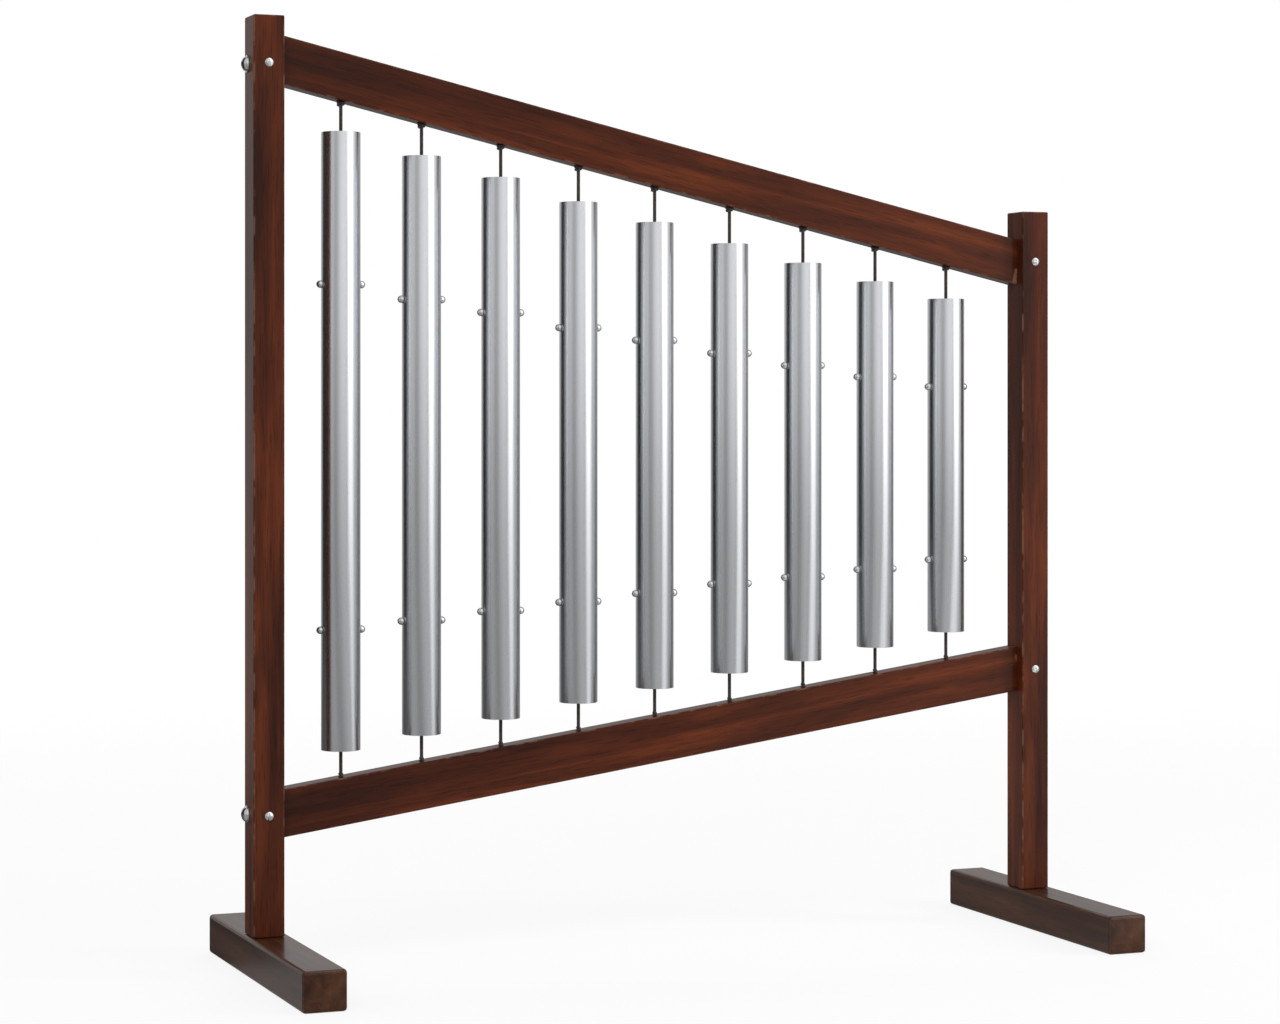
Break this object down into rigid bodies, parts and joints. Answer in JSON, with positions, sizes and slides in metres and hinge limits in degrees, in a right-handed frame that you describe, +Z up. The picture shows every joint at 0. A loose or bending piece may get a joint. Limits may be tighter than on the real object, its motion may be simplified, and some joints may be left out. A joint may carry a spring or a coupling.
{
  "type": "tube chimes",
  "caption": "Free-standing tube chimes: aluminium tubes of falling length hang on cords from a sloping wooden rail and are tethered to a lower one.",
  "frame": {"origin": "middle of the rectangle that the stand takes up, on the floor", "axes": "+Z up, +X from the longest tube to the shortest, +Y away from the player"},
  "size_m": [1.1424, 0.456, 1.2058],
  "materials": {
    "frame_wood": "reddish-brown stain under satin lacquer",
    "foot_wood": "brown stain under satin lacquer",
    "tube_aluminium": "satin, drawn lengthways",
    "nut_chrome": "polished",
    "fastener_chrome": "polished",
    "cord": "dark braided cord"
  },
  "bodies": {
    "stand": {"left_post": "frame_wood", "right_post": "frame_wood", "left_foot": "foot_wood", "right_foot": "foot_wood", "top_rail": "frame_wood", "bottom_rail": "frame_wood", "top_left_bolt": "fastener_chrome", "top_right_bolt": "fastener_chrome", "bottom_left_bolt": "fastener_chrome", "bottom_right_bolt": "fastener_chrome", "top_left_screw": "fastener_chrome", "top_right_screw": "fastener_chrome", "bottom_left_screw": "fastener_chrome", "bottom_right_screw": "fastener_chrome"},
    "hanger_1": {"hanging_cord_1": "cord"},
    "chime_1": {"tube_1": "tube_aluminium", "upper_pin_1": "nut_chrome", "lower_pin_1": "nut_chrome"},
    "tether_1": {"tether_cord_1": "cord"},
    "hanger_2": {"hanging_cord_2": "cord"},
    "chime_2": {"tube_2": "tube_aluminium", "upper_pin_2": "nut_chrome", "lower_pin_2": "nut_chrome"},
    "tether_2": {"tether_cord_2": "cord"},
    "hanger_3": {"hanging_cord_3": "cord"},
    "chime_3": {"tube_3": "tube_aluminium", "upper_pin_3": "nut_chrome", "lower_pin_3": "nut_chrome"},
    "tether_3": {"tether_cord_3": "cord"},
    "hanger_4": {"hanging_cord_4": "cord"},
    "chime_4": {"tube_4": "tube_aluminium", "upper_pin_4": "nut_chrome", "lower_pin_4": "nut_chrome"},
    "tether_4": {"tether_cord_4": "cord"},
    "hanger_5": {"hanging_cord_5": "cord"},
    "chime_5": {"tube_5": "tube_aluminium", "upper_pin_5": "nut_chrome", "lower_pin_5": "nut_chrome"},
    "tether_5": {"tether_cord_5": "cord"},
    "hanger_6": {"hanging_cord_6": "cord"},
    "chime_6": {"tube_6": "tube_aluminium", "upper_pin_6": "nut_chrome", "lower_pin_6": "nut_chrome"},
    "tether_6": {"tether_cord_6": "cord"},
    "hanger_7": {"hanging_cord_7": "cord"},
    "chime_7": {"tube_7": "tube_aluminium", "upper_pin_7": "nut_chrome", "lower_pin_7": "nut_chrome"},
    "tether_7": {"tether_cord_7": "cord"},
    "hanger_8": {"hanging_cord_8": "cord"},
    "chime_8": {"tube_8": "tube_aluminium", "upper_pin_8": "nut_chrome", "lower_pin_8": "nut_chrome"},
    "tether_8": {"tether_cord_8": "cord"},
    "hanger_9": {"hanging_cord_9": "cord"},
    "chime_9": {"tube_9": "tube_aluminium", "upper_pin_9": "nut_chrome", "lower_pin_9": "nut_chrome"},
    "tether_9": {"tether_cord_9": "cord"}
  },
  "joints": [
    {"name": "swing_1", "type": "hinge", "parent": "stand", "child": "hanger_1", "pos_m": [-0.44135, 0.0475, 1.10177], "axis": [1, 0, 0], "range_deg": [-4.95, 4.95]},
    {"name": "level_1", "type": "hinge", "parent": "hanger_1", "child": "chime_1", "pos_m": [-0.44135, 0.0475, 0.87029], "axis": [1, 0, 0], "range_deg": [-4.95, 4.95]},
    {"name": "steady_1", "type": "hinge", "parent": "stand", "child": "tether_1", "pos_m": [-0.44135, 0.0475, 0.24592], "axis": [1, 0, 0], "range_deg": [-6.14, 6.14]},
    {"name": "swing_2", "type": "hinge", "parent": "stand", "child": "hanger_2", "pos_m": [-0.33385, 0.0475, 1.07716], "axis": [1, 0, 0], "range_deg": [-5.1, 5.1]},
    {"name": "level_2", "type": "hinge", "parent": "hanger_2", "child": "chime_2", "pos_m": [-0.33385, 0.0475, 0.85235], "axis": [1, 0, 0], "range_deg": [-5.1, 5.1]},
    {"name": "steady_2", "type": "hinge", "parent": "stand", "child": "tether_2", "pos_m": [-0.33385, 0.0475, 0.26136], "axis": [1, 0, 0], "range_deg": [-6.37, 6.37]},
    {"name": "swing_3", "type": "hinge", "parent": "stand", "child": "hanger_3", "pos_m": [-0.22635, 0.0475, 1.05255], "axis": [1, 0, 0], "range_deg": [-5.3, 5.3]},
    {"name": "level_3", "type": "hinge", "parent": "hanger_3", "child": "chime_3", "pos_m": [-0.22635, 0.0475, 0.83646], "axis": [1, 0, 0], "range_deg": [-5.3, 5.3]},
    {"name": "steady_3", "type": "hinge", "parent": "stand", "child": "tether_3", "pos_m": [-0.22635, 0.0475, 0.27681], "axis": [1, 0, 0], "range_deg": [-6.57, 6.57]},
    {"name": "swing_4", "type": "hinge", "parent": "stand", "child": "hanger_4", "pos_m": [-0.11885, 0.0475, 1.02794], "axis": [1, 0, 0], "range_deg": [-5.45, 5.45]},
    {"name": "level_4", "type": "hinge", "parent": "hanger_4", "child": "chime_4", "pos_m": [-0.11885, 0.0475, 0.81758], "axis": [1, 0, 0], "range_deg": [-5.45, 5.45]},
    {"name": "steady_4", "type": "hinge", "parent": "stand", "child": "tether_4", "pos_m": [-0.11885, 0.0475, 0.29225], "axis": [1, 0, 0], "range_deg": [-6.81, 6.81]},
    {"name": "swing_5", "type": "hinge", "parent": "stand", "child": "hanger_5", "pos_m": [-0.01135, 0.0475, 1.00333], "axis": [1, 0, 0], "range_deg": [-5.69, 5.69]},
    {"name": "level_5", "type": "hinge", "parent": "hanger_5", "child": "chime_5", "pos_m": [-0.01135, 0.0475, 0.80186], "axis": [1, 0, 0], "range_deg": [-5.69, 5.69]},
    {"name": "steady_5", "type": "hinge", "parent": "stand", "child": "tether_5", "pos_m": [-0.01135, 0.0475, 0.3077], "axis": [1, 0, 0], "range_deg": [-7.09, 7.09]},
    {"name": "swing_6", "type": "hinge", "parent": "stand", "child": "hanger_6", "pos_m": [0.09615, 0.0475, 0.97872], "axis": [1, 0, 0], "range_deg": [-5.93, 5.93]},
    {"name": "level_6", "type": "hinge", "parent": "hanger_6", "child": "chime_6", "pos_m": [0.09615, 0.0475, 0.78531], "axis": [1, 0, 0], "range_deg": [-5.93, 5.93]},
    {"name": "steady_6", "type": "hinge", "parent": "stand", "child": "tether_6", "pos_m": [0.09615, 0.0475, 0.32314], "axis": [1, 0, 0], "range_deg": [-7.34, 7.34]},
    {"name": "swing_7", "type": "hinge", "parent": "stand", "child": "hanger_7", "pos_m": [0.20365, 0.0475, 0.95411], "axis": [1, 0, 0], "range_deg": [-6.21, 6.21]},
    {"name": "level_7", "type": "hinge", "parent": "hanger_7", "child": "chime_7", "pos_m": [0.20365, 0.0475, 0.76942], "axis": [1, 0, 0], "range_deg": [-6.21, 6.21]},
    {"name": "steady_7", "type": "hinge", "parent": "stand", "child": "tether_7", "pos_m": [0.20365, 0.0475, 0.33859], "axis": [1, 0, 0], "range_deg": [-7.76, 7.76]},
    {"name": "swing_8", "type": "hinge", "parent": "stand", "child": "hanger_8", "pos_m": [0.31115, 0.0475, 0.9295], "axis": [1, 0, 0], "range_deg": [-6.55, 6.55]},
    {"name": "level_8", "type": "hinge", "parent": "hanger_8", "child": "chime_8", "pos_m": [0.31115, 0.0475, 0.75437], "axis": [1, 0, 0], "range_deg": [-6.55, 6.55]},
    {"name": "steady_8", "type": "hinge", "parent": "stand", "child": "tether_8", "pos_m": [0.31115, 0.0475, 0.35404], "axis": [1, 0, 0], "range_deg": [-8.13, 8.13]},
    {"name": "swing_9", "type": "hinge", "parent": "stand", "child": "hanger_9", "pos_m": [0.41865, 0.0475, 0.90489], "axis": [1, 0, 0], "range_deg": [-7.01, 7.01]},
    {"name": "level_9", "type": "hinge", "parent": "hanger_9", "child": "chime_9", "pos_m": [0.41865, 0.0475, 0.74116], "axis": [1, 0, 0], "range_deg": [-7.01, 7.01]},
    {"name": "steady_9", "type": "hinge", "parent": "stand", "child": "tether_9", "pos_m": [0.41865, 0.0475, 0.36948], "axis": [1, 0, 0], "range_deg": [-8.37, 8.37]}
  ],
  "couplings": [
    {"joint": "level_1", "follows": "swing_1", "ratio": -1},
    {"joint": "steady_1", "follows": "swing_1", "ratio": -1.2395},
    {"joint": "level_2", "follows": "swing_2", "ratio": -1},
    {"joint": "steady_2", "follows": "swing_2", "ratio": -1.2479},
    {"joint": "level_3", "follows": "swing_3", "ratio": -1},
    {"joint": "steady_3", "follows": "swing_3", "ratio": -1.2392},
    {"joint": "level_4", "follows": "swing_4", "ratio": -1},
    {"joint": "steady_4", "follows": "swing_4", "ratio": -1.2495},
    {"joint": "level_5", "follows": "swing_5", "ratio": -1},
    {"joint": "steady_5", "follows": "swing_5", "ratio": -1.2445},
    {"joint": "level_6", "follows": "swing_6", "ratio": -1},
    {"joint": "steady_6", "follows": "swing_6", "ratio": -1.237},
    {"joint": "level_7", "follows": "swing_7", "ratio": -1},
    {"joint": "steady_7", "follows": "swing_7", "ratio": -1.2493},
    {"joint": "level_8", "follows": "swing_8", "ratio": -1},
    {"joint": "steady_8", "follows": "swing_8", "ratio": -1.2409},
    {"joint": "level_9", "follows": "swing_9", "ratio": -1},
    {"joint": "steady_9", "follows": "swing_9", "ratio": -1.1937}
  ]
}
